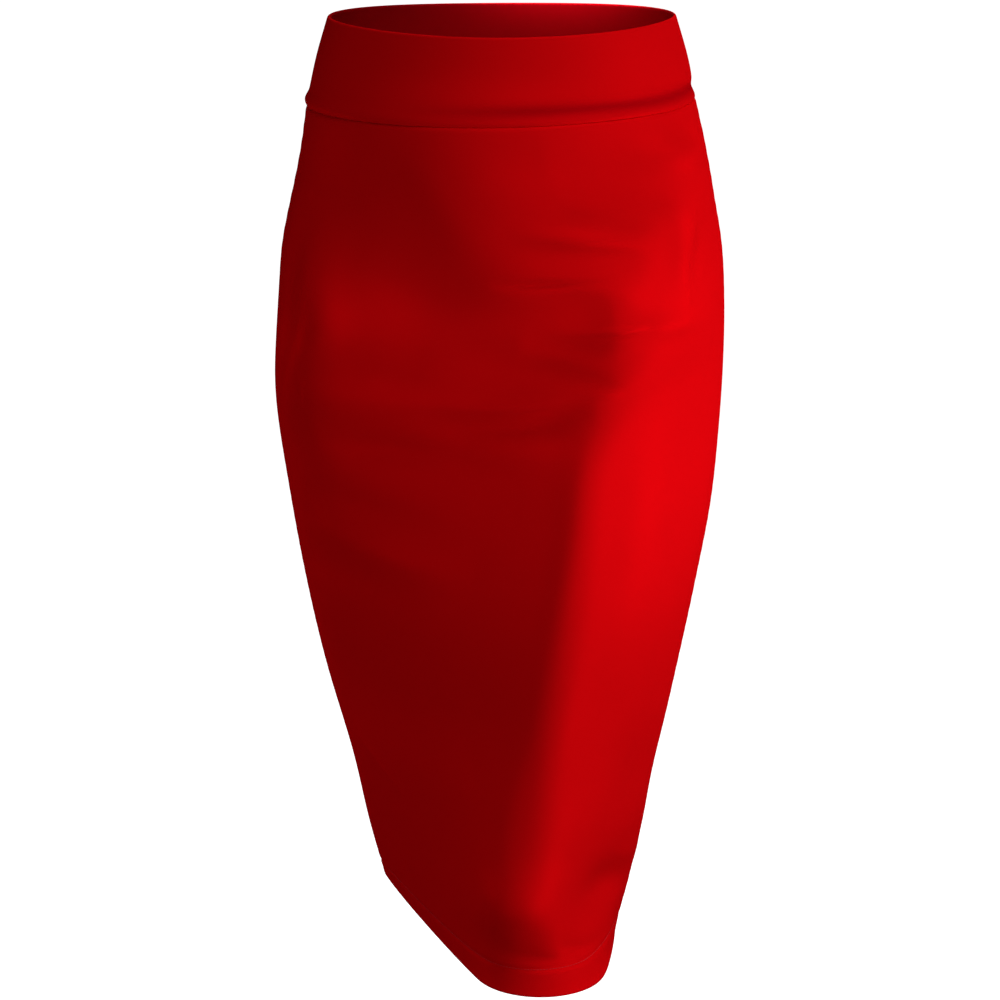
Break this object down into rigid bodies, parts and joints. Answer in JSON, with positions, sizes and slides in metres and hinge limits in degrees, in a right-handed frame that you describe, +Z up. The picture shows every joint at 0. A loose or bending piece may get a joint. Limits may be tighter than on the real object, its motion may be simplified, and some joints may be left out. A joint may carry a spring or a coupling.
{
  "type": "pencil skirt",
  "caption": "Close-fitting knee-length stretch-knit skirt with a wide pull-on waistband, worn open and hollow in mid-step.",
  "frame": {"origin": "middle of the waist opening, level with its side points, where the wearer's waist holds the skirt", "axes": "+Z up, towards the wearer's head; -Y the wearer's front; +X the wearer's left"},
  "size_m": [0.3211, 0.2516, 0.6905],
  "materials": {
    "panel_knit": "smooth heavy stretch knit, bright red, soft low sheen",
    "band_knit": "the same knit, folded double over soft elastic"
  },
  "bodies": {
    "root": {"waistband_front": "band_knit", "waistband_back": "band_knit", "front_panel": "panel_knit", "back_panel": "panel_knit"}
  },
  "joints": []
}
